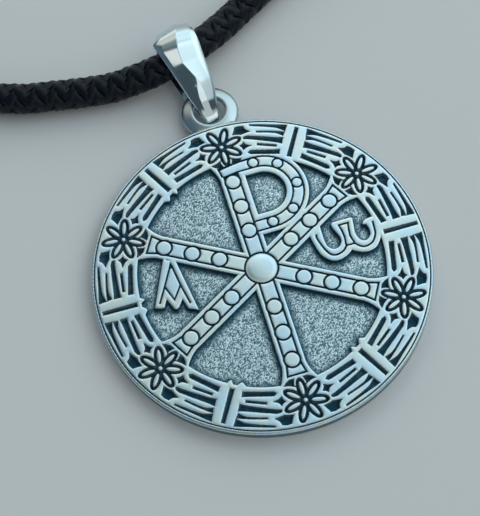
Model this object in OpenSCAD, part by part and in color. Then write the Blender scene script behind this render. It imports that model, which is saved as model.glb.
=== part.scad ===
// Chi-rho pendant of cast silver on a braided cord, millimetres.
// Origin: centre of the medallion's flat back, +Z out of its face, +Y towards the hanging ring.
// The pendant lies face up, the bail stands over the cord, and the cord's loop lies round behind it.

/* [Medallion] */
// Radius of the medallion's rim
rim_r = 15; // [15:0.1:15.6]
// Thickness from the flat back to the top of the relief
medallion_t = 1.6; // [1.6:0.1:2.4]
// Depth of the field between the spokes
field_depth = 0.55; // [0.4:0.05:0.8]
// Depth of the flowers' ground and of the pits beside them
pit_depth = 0.4; // [0.2:0.05:0.6]
// Depth of the flutes and the slots in the wreath
flute_depth = 0.3; // [0.15:0.05:0.5]
// Depth of the outlines on spokes and letters
line_depth = 0.22; // [0.1:0.02:0.4]
// Height of the boss's dome above the relief
dome_h = 0.25; // [0.1:0.05:0.4]

/* [Hanging ring] */
// Radius of the ring's hole
ring_hole_r = 1.45; // [1.4:0.05:1.6]
// Width of the ring's wire, seen from above
ring_wire_w = 1.25; // [1:0.05:1.3]
// Height of the ring's wire
ring_wire_h = 0.9; // [0.6:0.05:1]

/* [Bail] */
// Thickness of the bail's strap
strap_t = 0.45; // [0.3:0.05:0.5]
// Half the width of the strap where it is widest
strap_half_w = 2.2; // [1.8:0.1:2.6]
// Height of the ridge along the middle of the front leaf
ridge_h = 0.3; // [0:0.05:0.5]
// Lean of the bail to the left of the medallion's upright line
bail_lean = 10; // [6:1:12]

/* [Cord] */
// Thickness of the braided cord
cord_d = 3; // [2.6:0.1:3.1]

/* [Clasp] */
// Thickness of the clasp's barrel
clasp_d = 4.6; // [4:0.1:6]
// Length of the clasp's barrel
clasp_l = 16; // [12:1:20]

/* [Hidden] */
$fn = 48;
cut_over = 0.5;        // how far a cut runs past the top of the relief

silver = "silver";
cord_black = "black";

// Wreath: six flowers, and a pair of bars half way between each two
wreath_in = 10.95;
groove_out = 14.78;
groove_in = 14.66;
groove_depth = 0.2;
flower_at = 12.6;
flower_ground_r = 1.06;
petals = 7;
petal_at = 1.1;
petal_l = 0.63;        // half the length of a petal, and half its width
petal_w = 0.18;
petal_bed_at = 1.13;   // the ground round a petal, the same way
petal_bed_l = 0.89;
petal_bed_w = 0.43;
seed_r = 0.19;
rim_foot = 0.5;        // the rounding at the back of the rim, inwards and up
rim_knee = 0.2;        // the height of its middle corner
rim_turn = 0.12;       // the small slope at the top of the rim, inwards and down
rim_edge = 0.1;

// Spokes: a strip of discs and panels between two rails, along +Y
rail_out = 1.06;
rail_in = 0.72;
panel_half_w = 0.58;
disc_r = 0.635;
disc_ring_r = 0.775;
disc_at = [3.8, 6.29, 8.87];
boss_r = 1.4;
boss_ring_r = 1.54;

// Bowl of the rho: rings about one centre, in the order from the opening outwards
bowl_x = 2.4;
bowl_y = 7.1;
bowl_open_r = 2.05;
bowl_rail_r = 2.56;
band_in = 2.69;
band_out = 3.55;
bowl_ring_r = 3.68;
bowl_r = 4.04;
bowl_left = 1.22;
bead_at = 3.1;
bead_r = 0.43;
bead_ring_r = 0.55;
bead_angles = [92, 50, 0, -50, -92];

// Curves: points on an arc, on an ellipse, and through a few given points
function arc(cx, cy, r, a0, a1, n) =
    [for (i = [0:n]) let (a = a0 + (a1 - a0) * i / n) [cx + r * cos(a), cy + r * sin(a)]];
function oval(cx, cy, rx, ry, n) =
    [for (i = [0:n - 1]) let (a = 360 * i / n) [cx + rx * cos(a), cy + ry * sin(a)]];
function between(a, b, c, d, t) =
    0.5 * (2 * b + (c - a) * t + (2 * a - 5 * b + 4 * c - d) * t * t
        + (3 * b - a - 3 * c + d) * t * t * t);
function curve(p, n) =
    let (last = len(p) - 1)
    concat([for (i = [0:last - 1], j = [0:n - 1])
        between(p[max(i - 1, 0)], p[i], p[i + 1], p[min(i + 2, last)], j / n)], [p[last]]);
function unit(v) = v / norm(v);
function left_of(v) = [-v[1], v[0]];
function corner_normal(p, i) =
    let (a = unit(p[max(i, 1)] - p[max(i, 1) - 1]),
         b = unit(p[min(i + 1, len(p) - 1)] - p[min(i, len(p) - 2)]),
         m = unit(a + b))
    left_of(m) / max(0.6, a * m);
function stroke(p, w) =
    concat([for (i = [0:len(p) - 1]) p[i] + corner_normal(p, i) * w / 2],
           [for (i = [len(p) - 1:-1:0]) p[i] - corner_normal(p, i) * w / 2]);
function grown(p, d) =
    let (n = len(p))
    [for (i = [0:n - 1])
        let (a = unit(p[i] - p[(i + n - 1) % n]), b = unit(p[(i + 1) % n] - p[i]), m = unit(a + b))
        p[i] + left_of(m) * d / max(0.6, a * m)];
function both_sides(rows) =
    concat([for (r = rows) [r[1], r[0]]], [for (i = [len(rows) - 1:-1:0]) [-rows[i][1], rows[i][0]]]);

// Cuts a flat shape into the relief to a depth below its top
module cut(depth) {
    translate([0, 0, medallion_t - depth])
        linear_extrude(depth + cut_over)
            children();
}

// Flutes of half a sector, right of a flower at the top: the edge towards the rim from the
// flower to the bars, then the tip, then the other edge back
flute_1 = concat(curve([[3.1, 14.13], [4, 13.85], [5, 13.5], [6, 13.18], [6.42, 13]], 2),
    curve([[6.05, 12.45], [5.5, 12.95], [5, 13.22], [4, 13.63], [3.1, 13.97]], 2));
flute_2 = concat(curve([[3.5, 13.27], [4.5, 12.97], [5.5, 12.62], [6, 12.38]], 2),
    curve([[5.73, 12.03], [5.25, 12.48], [4.5, 12.8], [3.5, 13.13]], 2));
flute_3 = concat(curve([[2.15, 12.9], [2.25, 13.03], [2.6, 13.05], [3, 12.9], [4, 12.52], [5, 12.1],
    [5.7, 11.88]], 2), curve([[5.38, 11.3], [5, 11.55], [4.5, 11.8], [3.5, 12.27], [2.6, 12.68],
    [2.2, 12.8]], 2));
flute_4 = curve([[3.2, 11.93], [4, 11.6], [4.85, 11.24]], 2);
flute_4_w = 0.22;
flute_5 = concat(curve([[2.15, 11.32], [2.4, 11.5], [3, 11.36], [4, 11.06], [5.03, 10.78]], 2),
    curve([[4.85, 10.35], [4, 10.62], [3, 10.93], [2.4, 11.1]], 2));

// Pits round the same half of the flower
pit_top = [[1.3, 13.52], [1.6, 14], [1.7, 14.22], [2.1, 14.24], [2.5, 14.12], [2.6, 13.75],
    [2.95, 13.42], [2.5, 13.38], [2.1, 13.32], [1.7, 13.45]];
pit_side = [[2.05, 12.53], [2.22, 12.2], [2.65, 11.97], [2.2, 11.9], [1.83, 11.72], [1.78, 12.02],
    [1.62, 12.25], [1.88, 12.35]];
pit_low = [[0.52, 11.25], [0.95, 11.05], [1.42, 10.96], [1.15, 10.72], [0.8, 10.55], [0.38, 10.55],
    [0.52, 10.95]];

module flutes() {
    polygon(flute_1);
    polygon(flute_2);
    polygon(flute_3);
    polygon(stroke(flute_4, flute_4_w));
    polygon(flute_5);
}

module pits() {
    polygon(pit_top);
    polygon(pit_side);
    polygon(pit_low);
}

// Ground of a flower, and the seven petals and the seed that stand on it
module at_petals() {
    for (k = [0:petals - 1])
        rotate(270 + 360 * k / petals)
            children();
}

module flower_ground() {
    circle(flower_ground_r);
    at_petals() polygon(oval(petal_bed_at, 0, petal_bed_l, petal_bed_w, 20));
}

module flower() {
    circle(seed_r);
    at_petals() polygon(oval(petal_at, 0, petal_l, petal_w, 16));
}

// Slot between a pair of bars, and the pair's two nubs in the field
slot_outline = [[-0.2, 14.4], [0.15, 14.4], [0.14, 11.32], [-0.28, 11.32]];
nub_left = [[-1.35, 11.05], [-1.35, 10.97], [-1.05, 10.78], [-0.85, 10.6], [-0.65, 10.68],
    [-0.3, 11.12]];
nub_right = [[-0.2, 11.12], [0, 10.85], [0.15, 10.62], [0.28, 10.66], [0.55, 11.1]];

module nubs() {
    polygon(curve(nub_left, 2));
    polygon(curve(nub_right, 2));
}

// Spoke seen from above: [distance from the centre, half width]
rail_rows = [[0, rail_out], [9.3, rail_out], [9.75, 1.14], [10.15, 1.27], [10.66, 1.5], [11.1, 1.8]];
channel_rows = [[0, rail_in], [9.3, rail_in], [9.7, 0.79], [10.31, 0.92]];
strip_rows = [[0, panel_half_w], [9.4, panel_half_w], [10.17, 0.75]];

module at_discs() {
    for (y = disc_at)
        translate([0, y])
            children();
}

module spoke_outline() {
    polygon(both_sides(rail_rows));
}

module spoke_panels(rows) {
    difference() {
        polygon(both_sides(rows));
        circle(boss_ring_r);
        at_discs() circle(disc_ring_r, $fn = 32);
    }
}

module spoke_lines() {
    difference() {
        union() {
            polygon(both_sides(channel_rows));
            at_discs() circle(disc_ring_r, $fn = 32);
        }
        circle(boss_r);
        spoke_panels(strip_rows);
        at_discs() circle(disc_r, $fn = 32);
    }
}

// Rho: its stem is the top spoke, whose head runs on into the bowl
head_left = [[-0.86, 9.6], [-1, 10.5]];
head_top = [[-1, 10.5], [0, 10.63], [1, 10.76], [2.4, 10.8]];
stem_rows = [[0, rail_in], [9.7, rail_in]];
stem_strip_rows = [[0, panel_half_w], [9.3, panel_half_w]];

module half_ring(outer, inner) {
    polygon(concat(arc(bowl_x, bowl_y, outer, 90, -90, 24), arc(bowl_x, bowl_y, inner, -90, 90, 20)));
}

module bowl_outline() {
    polygon(concat([[0, bowl_y + bowl_r]], arc(bowl_x, bowl_y, bowl_r, 90, -90, 32),
        [[0, bowl_y - bowl_r]]));
}

module bowl_opening() {
    polygon(concat([[bowl_left, bowl_y + bowl_open_r]], arc(bowl_x, bowl_y, bowl_open_r, 90, -90, 24),
        [[bowl_left, bowl_y - bowl_open_r]]));
}

module at_beads() {
    for (a = bead_angles)
        translate([bowl_x + bead_at * cos(a), bowl_y + bead_at * sin(a)])
            children();
}

module bowl_band() {
    difference() {
        union() {
            half_ring(band_out, band_in);
            polygon([[bowl_x, bowl_y + band_in], [0.7, bowl_y + band_in], [-0.7, 9.6], [-0.85, 10.3],
                [0, 10.46], [1, 10.6], [bowl_x, bowl_y + band_out]]);
            polygon([[bowl_x, bowl_y - band_in], [rail_in, bowl_y - band_in],
                [rail_in, bowl_y - band_out], [bowl_x, bowl_y - band_out]]);
        }
        at_beads() circle(bead_ring_r, $fn = 24);
        translate([0, disc_at[2]]) circle(disc_ring_r, $fn = 32);
    }
}

module rho_lines() {
    difference() {
        union() {
            polygon(both_sides(stem_rows));
            at_discs() circle(disc_ring_r, $fn = 32);
            half_ring(bowl_ring_r, bowl_rail_r);
            polygon(concat([[bowl_x, bowl_y + bowl_rail_r], [-rail_in, bowl_y + bowl_rail_r]], head_left,
                head_top));
            polygon([[bowl_x, bowl_y - bowl_rail_r], [0, bowl_y - bowl_rail_r],
                [0, bowl_y - bowl_ring_r], [bowl_x, bowl_y - bowl_ring_r]]);
        }
        circle(boss_r);
        spoke_panels(stem_strip_rows);
        at_discs() circle(disc_r, $fn = 32);
        bowl_band();
        at_beads() circle(bead_r, $fn = 24);
    }
}

// Alpha, left of the boss
module alpha() {
    polygon([[-7.95, 3.6], [-7.8, 3.2], [-7.05, 3], [-6.33, -2.15], [-6.6, -1.98], [-7.15, -1.72],
        [-7.42, -0.75], [-7.93, -1.42], [-8.12, -1.5], [-8.32, -1.42], [-8.75, -0.35], [-9.12, -1.05],
        [-9.4, -1.05], [-9.92, -0.85]]);
}

letter_line_w = 0.13;
module alpha_lines() {
    polygon(stroke([[-7.65, 2.55], [-8.62, 0.78], [-9.42, -0.6]], letter_line_w));
    polygon(stroke([[-7.5, 2.55], [-7.22, 0.5], [-6.85, -1.32]], letter_line_w));
    polygon(stroke([[-8.6, 0.8], [-8.1, -0.62], [-7.22, 0.6]], letter_line_w));
    polygon([[-7.55, 2.9], [-7.82, 2.34], [-7.4, 2.34]]);
}

// Omega, right of the boss, its stretches in the order round its edge
omega_left = [[4.97, 2], [4.97, 1.7], [5.05, 1], [5.35, -0.3], [6, -1.1], [6.75, -1.3], [7.5, -1.1],
    [8.08, -0.72]];
omega_right = [[8.08, -0.72], [8.8, -1.13], [9.5, -1.28], [10.2, -1.1], [10.7, -0.6], [11.05, 0]];
omega_curl = [[11.1, 1.8], [10.75, 1.8], [10.15, 1.72], [9.88, 1.55], [9.8, 1.35], [10.08, 1.27]];
omega_hollow_right = [[10.08, 1.27], [10.2, 0.7], [10.1, 0.15], [9.6, -0.22], [9.1, 0], [8.88, 0.7],
    [8.95, 1.3], [9.08, 2.15]];
omega_top = [[8.95, 2.3], [7.25, 2.3]];
omega_hollow_left = [[7.1, 2.15], [7.12, 1.8], [7.45, 0.9], [7.45, 0.3], [7.1, -0.12], [6.6, -0.18],
    [6.2, 0.15], [6.05, 0.8], [6.1, 2.6]];
omega_line_left = [[5.55, 1.6], [5.5, 1.2], [5.8, 0.1], [6.2, -0.6], [6.7, -0.78], [7.35, -0.6],
    [7.8, -0.15]];
omega_line_right = [[8.45, -0.12], [8.9, -0.6], [9.4, -0.77], [10.1, -0.52], [10.55, 0.15],
    [10.65, 0.8], [10.7, 1.35]];
omega_panel = [[7.72, 1.88], [8.58, 1.88], [8.45, 1.3], [8.36, 0.6], [8.5, -0.05], [8.42, -0.2],
    [7.85, -0.2], [7.75, -0.05], [7.86, 0.6], [7.82, 1.3]];

module omega() {
    polygon(concat(curve(omega_left, 3), curve(omega_right, 3), curve(omega_curl, 3),
        curve(omega_hollow_right, 3), omega_top, curve(omega_hollow_left, 3)));
}

module omega_lines() {
    polygon(stroke(curve(omega_line_left, 3), letter_line_w));
    polygon(stroke(curve(omega_line_right, 3), letter_line_w));
    difference() {
        polygon(grown(omega_panel, letter_line_w / 2));
        polygon(grown(omega_panel, -letter_line_w / 2));
    }
}

// Field: the wreath's inside less everything that stands in it
module field() {
    difference() {
        circle(wreath_in, $fn = 120);
        for (k = [0:5])
            rotate(60 * k)
                spoke_outline();
        bowl_outline();
        alpha();
        omega();
        for (a = [30, 90, 150, -150])
            rotate(a)
                nubs();
    }
    bowl_opening();
}

module medallion_blank() {
    rotate_extrude($fn = 120)
        polygon([[0, 0], [rim_r - rim_foot, 0], [rim_r - rim_turn, rim_knee], [rim_r, rim_foot],
            [rim_r, medallion_t - rim_turn], [rim_r - rim_edge, medallion_t], [0, medallion_t]]);
}

ring_mid_r = ring_hole_r + ring_wire_w / 2;
ring_x = 0.06;
ring_y = rim_r + 1.78;
ring_z = medallion_t - 0.07 - ring_wire_h / 2;

module hanging_ring() {
    translate([ring_x, ring_y, ring_z])
        rotate_extrude()
            polygon(oval(ring_mid_r, 0, ring_wire_w / 2, ring_wire_h / 2, 16));
}

module rim_groove() {
    translate([0, 0, medallion_t - groove_depth])
        rotate_extrude($fn = 120)
            translate([groove_in, 0])
                square([groove_out - groove_in, groove_depth + cut_over]);
}

dome_r = boss_r - 0.04;
dome_steps = 6;

module boss_dome() {
    ball_r = (dome_r * dome_r + dome_h * dome_h) / (2 * dome_h);
    edge_angle = asin(dome_r / ball_r);
    rotate_extrude()
        polygon(concat([[0, medallion_t - line_depth], [dome_r, medallion_t - line_depth]],
            arc(0, medallion_t + dome_h - ball_r, ball_r, 90 - edge_angle, 90, dome_steps)));
}

module medallion() {
    color(silver) {
        boss_dome();
        difference() {
            union() {
                medallion_blank();
                hanging_ring();
            }
            rim_groove();
            cut(field_depth) field();
            cut(pit_depth)
                for (k = [0:5])
                    rotate(60 * k) {
                        pits();
                        mirror([1, 0]) pits();
                        translate([0, flower_at])
                            difference() {
                                flower_ground();
                                flower();
                            }
                    }
            cut(flute_depth)
                for (k = [0:5])
                    rotate(60 * k) {
                        flutes();
                        mirror([1, 0]) flutes();
                        rotate(30) polygon(slot_outline);
                    }
            cut(line_depth) {
                difference() {
                    circle(boss_ring_r);
                    circle(boss_r);
                }
                for (k = [1:5])
                    rotate(60 * k)
                        spoke_lines();
                rho_lines();
                alpha_lines();
                omega_lines();
            }
        }
    }
}

// Bail: one strap folded over the cord, its two ends soldered together inside the ring's hole.
// Its path is drawn from the side: u runs from its origin in the ring along the bail, z is the height.
bail_x = -0.05;
bail_y = rim_r + 1.75;
cord_r = cord_d / 2;
floor_gap = 0.05;      // air under the back leaf
fold_gap = 0.35;       // air between the cord and the fold
tip_gap = 0.05;        // half the air between the leaves at the tip
leaf_slope = 29;       // angle between the front leaf and the back leaf
fold_u = 6.5;          // the fold's centre
leaf_z = floor_gap + strap_t / 2;
fold_r = cord_r + fold_gap + strap_t / 2;
fold_z = leaf_z + fold_r;
tip_r = strap_t / 2 + tip_gap;
fold_start = 90 + leaf_slope;
apex_u = fold_u + fold_r * cos(fold_start)
    - (fold_r + fold_r * sin(fold_start)) / tan(leaf_slope);
tip_u = apex_u + tip_r / tan(leaf_slope / 2);
tip_z = leaf_z + tip_r;

// Half width of the strap: [place along the bail, half width where the widest is 1]
front_width = [[-1.3, 0.14], [-0.9, 0.22], [-0.3, 0.32], [0.3, 0.39], [1.4, 0.53], [3.2, 0.69],
    [4.4, 0.8], [5.5, 0.9], [6.3, 0.97], [6.9, 1], [7.5, 0.98], [8, 0.95], [8.6, 0.88]];
back_width = [[-1.3, 0.14], [-0.9, 0.22], [0.3, 0.36], [3, 0.6], [6.4, 0.74], [8.6, 0.88]];

// Share of that width which the left edge keeps where it turns over the cord
left_trim = [[6.9, 1], [7.6, 0.78], [8.6, 0.44]];

// What the front leaf's right edge adds to its half width: it swells low down
right_swell = [[-1.2, 0.05], [-0.6, 0.18], [2.6, 0.2], [4.4, 0], [5.6, -0.05], [6.8, -0.2]];

// Place of the ridge right of the middle: it winds to the left and back towards the fold
ridge_bend = [[0.6, 0.3], [2.5, 0.3], [3.3, 0], [4.5, -0.45], [5.6, -0.3], [6.9, 0.27], [8.1, 0.8]];
ridge_fade_from = 10;  // the ridge fades out over the fold between these angles
ridge_fade_to = 70;
ridge_run = 1.5;       // and over this length at the tip

// A station of the strap: [u, z, direction out of the loop, half width, ridge]
function on_arc(u, z, r, a) = [u + r * cos(a), z + r * sin(a), a];
function along(a, b, t) = [a[0] + (b[0] - a[0]) * t, a[1] + (b[1] - a[1]) * t, a[2]];
tip_arc = [for (i = [0:6]) on_arc(tip_u, tip_z, tip_r, 270 - (270 - fold_start) * i / 6)];
fold_arc = [for (i = [0:15]) on_arc(fold_u, fold_z, fold_r, fold_start - (fold_start + 90) * i / 15)];
front_leaf = [for (i = [1:9]) along(tip_arc[6], fold_arc[0], i / 10)];
back_leaf = [for (i = [1:7]) along(fold_arc[15], tip_arc[0], i / 8)];
strap_path = concat(tip_arc, front_leaf, fold_arc, back_leaf);
strap_sides = 6;

function on_front(s) = s[2] > 0 && s[2] < 200;
function strap_half(s) = strap_half_w * lookup(s[0], on_front(s) ? front_width : back_width);
function share(x, from, to) = min(1, max(0, (x - from) / (to - from)));
function strap_ridge(s) = ridge_h * share(s[2], ridge_fade_from, ridge_fade_to)
    * (s[2] > 200 ? 0 : 1) * share(s[0], tip_u, tip_u + ridge_run);
function strap_section(s) =
    let (w = strap_half(s), left = w * lookup(s[0], left_trim), t = strap_t / 2,
         right = w + (on_front(s) ? lookup(s[0], right_swell) : 0), mid = lookup(s[0], ridge_bend))
    [for (q = [[-left, -t], [-left, t], [mid, t + strap_ridge(s)], [right, t], [right, -t], [mid, -t]])
        [q[0], s[0] + q[1] * cos(s[2]), s[1] + q[1] * sin(s[2])]];

module bail() {
    count = len(strap_path);
    color(silver)
        translate([bail_x, bail_y, 0])
            rotate(bail_lean)
                polyhedron(
                    points = [for (s = strap_path) each strap_section(s)],
                    faces = [for (i = [0:count - 1], j = [0:strap_sides - 1])
                        let (a = i * strap_sides, b = (i + 1) % count * strap_sides,
                             k = (j + 1) % strap_sides)
                        each [[a + j, b + j, b + k], [a + j, b + k, a + k]]]
                );
}

// Cord: one loop that lies on the surface, from the clasp round to the bail and back.
// Its route: [x, y, lift above the surface]
cord_route = [
    [-8, 182, 0.8], [-17, 181, 0.4], [-33, 177, 0], [-51, 167, 0], [-67, 151, 0], [-77, 130, 0],
    [-81, 106, 0], [-78, 83, 0], [-68, 61, 0], [-52, 43, 0], [-33, 30.5, 0], [-18.5, 24.1, 0],
    [-13.5, 22.75, 0], [-8.6, 21.95, 0], [-5.8, 21.9, 0.3], [-3.3, 22.1, 0.6], [-0.8, 23, 0.6],
    [1.6, 23.9, 0.6], [4.2, 25.45, 0.2], [7.2, 27.4, 0], [13.2, 30.8, 0], [22, 34.5, 0],
    [36, 39, 0], [52, 48, 0], [66, 62, 0], [77, 82, 0], [81, 106, 0], [78, 130, 0], [68, 151, 0],
    [52, 167, 0], [33, 177, 0], [17, 181, 0.4], [8, 182, 0.8]
];
ring_spacing = 8;
cord_sides = 8;
cord_path = [for (i = [0:len(cord_route) - 2])
    let (n = ceil(norm(cord_route[i + 1] - cord_route[i]) / ring_spacing))
    for (j = [0:n - 1])
        between(cord_route[max(i - 1, 0)], cord_route[i], cord_route[i + 1],
            cord_route[min(i + 2, len(cord_route) - 1)], j / n)];
cord_line = [for (q = concat(cord_path, [cord_route[len(cord_route) - 1]]))
    [q[0], q[1], max(0, q[2]) + cord_r]];

function cord_section(i) =
    let (last = len(cord_line) - 1,
         along = unit(cord_line[min(i + 1, last)] - cord_line[max(i - 1, 0)]),
         side = unit([-along[1], along[0], 0]),
         up = cross(along, side))
    [for (k = [0:cord_sides - 1])
        let (a = 360 * k / cord_sides)
        cord_line[i] + cord_r * (cos(a) * side + sin(a) * up)];

module cord() {
    count = len(cord_line);
    color(cord_black)
        polyhedron(
            points = [for (i = [0:count - 1]) each cord_section(i)],
            faces = concat(
                [[for (k = [0:cord_sides - 1]) k]],
                [for (i = [0:count - 2], j = [0:cord_sides - 1])
                    let (a = i * cord_sides, b = (i + 1) * cord_sides, k = (j + 1) % cord_sides)
                    each [[a + j, b + j, b + k], [a + j, b + k, a + k]]],
                [[for (k = [cord_sides - 1:-1:0]) (count - 1) * cord_sides + k]]
            )
        );
}

// Clasp: a plain barrel at the far end of the loop, between the cord's two ends
clasp_y = 182;
clasp_edge = 0.4;

module clasp() {
    barrel_r = clasp_d / 2;
    color(silver)
        translate([-clasp_l / 2, clasp_y, barrel_r])
            rotate([0, 90, 0])
                rotate_extrude()
                    polygon([[0, 0], [barrel_r - clasp_edge, 0], [barrel_r, clasp_edge],
                        [barrel_r, clasp_l - clasp_edge], [barrel_r - clasp_edge, clasp_l],
                        [0, clasp_l]]);
}

medallion();
bail();
cord();
clasp();
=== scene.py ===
"""Chi-rho pendant: the cast medallion with its ring, the bail, the braided cord and the clasp."""

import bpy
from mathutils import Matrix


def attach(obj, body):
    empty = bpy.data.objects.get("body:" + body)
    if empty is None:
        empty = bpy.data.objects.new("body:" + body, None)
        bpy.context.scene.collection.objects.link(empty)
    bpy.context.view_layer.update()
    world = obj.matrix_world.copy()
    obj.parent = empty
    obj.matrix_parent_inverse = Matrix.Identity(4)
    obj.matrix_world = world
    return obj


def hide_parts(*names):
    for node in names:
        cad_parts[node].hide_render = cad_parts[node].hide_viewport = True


bl_info = {
    "name": "Chi-rho pendant",
    "version": (1, 0, 0),
    "blender": (4, 5, 0),
    "location": "View3D > Sidebar > Pendant",
    "description": "Builds a cast silver pendant on a braided cord round its packed solids",
    "category": "Object",
}

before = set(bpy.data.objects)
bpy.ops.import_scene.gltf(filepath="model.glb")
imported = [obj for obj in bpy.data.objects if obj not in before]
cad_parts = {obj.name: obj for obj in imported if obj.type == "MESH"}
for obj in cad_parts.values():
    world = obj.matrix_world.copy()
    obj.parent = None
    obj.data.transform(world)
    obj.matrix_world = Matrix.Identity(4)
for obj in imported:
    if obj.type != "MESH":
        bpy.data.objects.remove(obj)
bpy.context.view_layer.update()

import math

import bmesh
import bpy
from mathutils import Matrix, Vector, noise
from mathutils.bvhtree import BVHTree
from mathutils.kdtree import KDTree

# Sizes are in millimetres, unless a comment says otherwise
MM = 0.001
ROOT = "root"

# Corners closer than these become one
RELIEF_MERGE = 0.002
TURNED_MERGE = 0.001
STRAP_MERGE = 0.0005
BRAID_MERGE = 0.0001

# Medallion: its radii and the heights of its levels
RIM_R = 15.0
WREATH_R = 11.0         # a little past the wreath's inner edge
BOSS_R = 1.4
TOP_Z = 1.6
LINE_Z = 1.38
FLUTE_Z = 1.3
PIT_Z = 1.2
FIELD_Z = 1.05
ON_LEVEL = 0.003        # how far off a level a corner may be and still lie on it
FLAT_NORMAL = 0.99      # least upward share of the normal of a face that lies flat

# Relief: each level with the fine and the coarse edge length of its triangles
RELIEF_LEVELS = ((TOP_Z, 0.14, 0.4), (FLUTE_Z, 0.12, 0.3), (PIT_Z, 0.15, 0.3))
REFINE_ROUNDS = 8
FINE_BAND = 1.6         # how far the fine triangles reach from an outline, in fine lengths
OUTLINE_STEP = 0.03     # spacing of the points that stand for an outline
EDGE_DROP = 0.02        # depth of the rounding of the upper edges
CROWN_DROP = 0.015      # slow fall of the upper face towards its outlines
CROWN_W = 0.5
FLOOR_RISE = 0.14       # hollow where the floor of a cut meets its walls
FLOOR_RISE_W = 0.18
SOFT_ANGLE = math.radians(50)

# Deposit on the relief: the share of silver that it hides at an outline, and how far it spreads
EDGE_DEPOSIT = 0.55
EDGE_DEPOSIT_W = 0.11
CUT_DEPOSIT = 0.85
LINE_DEPOSIT_W = 0.1
FLUTE_DEPOSIT_W = 0.07
FLOOR_CLEAN = 0.4       # share of silver that shows on a cut's floor, against its walls
FLOOR_CLEAN_W = 0.15
OUTER_CLEAN = 0.75      # share that shows on the rim's outer band and on the back
OUTER_BAND = 0.2
BACK_Z = 0.6            # height below which only the rim's wall and the back lie
CLEAN_BY_HEIGHT = ((FIELD_Z, 0.1), (LINE_Z, 0.0), (TOP_Z - 0.02, 1.0))

# Boss: the share of the solid's dome that stays, and how far its edge sinks
BOSS_DOME = 0.4
BOSS_SINK = 0.05
BOSS_SHOULDER = 0.8     # where the sinking starts, as a share of the radius
BOSS_BELOW_TOP = 0.01   # the dome's own points lie no further below the top

# Stippled field
FIELD_SLACK = 0.02      # how far off the field's level a hit may be
FIELD_LIFT = 0.04       # how far the middle of the stipple lies above the solid's field
LOOK_DOWN_Z = 5.0       # height above the casting from which the field is looked for
WALL_ANGLE = 0.5        # least angle, in radians, of an edge where the field meets a wall
WALL_STEP = 0.1
WALL_RISE = 0.1
WALL_RISE_W = 0.2
LUMPS = ((9.2, 0.3, 1.0), (16.0, 4.1, 0.5))     # (lumps per millimetre, slice of the noise, share)
LUMP_H = 0.035
GRAIN_MIDDLE = 0.5
GRAIN_SWING = 0.6

# Hanging ring
RING_X = 0.06
RING_Y = 16.78
RING_Z = 1.08
RING_MID_R = 2.075
# Section of its wire: (outwards from the wire's middle, up), high on the inside and falling outwards
RING_SECTION = ((-0.62, 0.0), (-0.61, 0.2), (-0.56, 0.35), (-0.45, 0.42), (-0.25, 0.4), (0.0, 0.33),
                (0.25, 0.25), (0.45, 0.16), (0.58, 0.04), (0.62, -0.1), (0.55, -0.28), (0.36, -0.4),
                (0.1, -0.44), (-0.2, -0.44), (-0.45, -0.36), (-0.58, -0.2))
RING_STEPS = 72
RING_CORE = 0.5         # share of its thickness that the solid's ring keeps, inside the turned one

# Bail, seen from the side: u along it from the ring's centre, z up
BAIL_X = -0.05
BAIL_Y = 16.75
BAIL_LEAN = math.radians(10)
STRAP_T = 0.45
STRAP_HALF_W = 2.2
RIDGE_H = 0.3
LEAF_SLOPE = math.radians(29)
FOLD_U = 6.5
CORD_R = 1.5
FOLD_GAP = 0.35
FLOOR_GAP = 0.05
TIP_GAP = 0.05
# Rows of (u, value): the leaves' half width as a share of STRAP_HALF_W, the left side's trim as a
# share, and in millimetres what the right side has more, where the ridge lies and its flat top
FRONT_WIDTH = ((-1.3, 0.14), (-0.9, 0.22), (-0.3, 0.32), (0.3, 0.39), (1.4, 0.53), (3.2, 0.69),
               (4.4, 0.8), (5.5, 0.9), (6.3, 0.97), (6.9, 1.0), (7.5, 0.98), (8.0, 0.95), (8.6, 0.88))
BACK_WIDTH = ((-1.3, 0.14), (-0.9, 0.22), (0.3, 0.36), (3.0, 0.6), (6.4, 0.74), (8.6, 0.88))
LEFT_TRIM = ((6.9, 1.0), (7.6, 0.78), (8.6, 0.44))
RIGHT_SWELL = ((-1.2, 0.05), (-0.6, 0.18), (2.6, 0.2), (4.4, 0.0), (5.6, -0.05), (6.8, -0.2))
RIDGE_BEND = ((0.6, 0.3), (2.5, 0.3), (3.3, 0.0), (4.5, -0.45), (5.6, -0.3), (6.9, 0.27), (8.1, 0.8))
RIDGE_FLAT = ((-0.5, 0.5), (0.6, 0.65), (1.4, 0.7), (2.2, 0.5), (3.0, 0.02))
ARCH = 0.3              # how far the front leaf bows outwards
ARCH_START = 0.25       # share of the leaf over which the bow sets in
ARCH_FADE = 0.9         # how soon it dies away round the fold
STRAP_STATIONS = 160
STRAP_EDGE = 0.1        # width of the softened edges
EDGE_TUCK = 0.02
EDGE_SHARE = 0.6        # where the edge's flank ends, as a share of half the thickness
FLANK_STEPS = (0.0, 0.3, 0.6, 0.85, 0.96)
CREST_SOFT = 0.1        # softened share of the ridge's flat top
BACK_PARTS = 4
RIDGE_FADE = (-60, 20)  # degrees of facing between which the ridge rises out of the fold
RIDGE_END = 200         # degrees of facing past which the tip has no ridge
RIDGE_RUN_IN = 1.5

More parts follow.
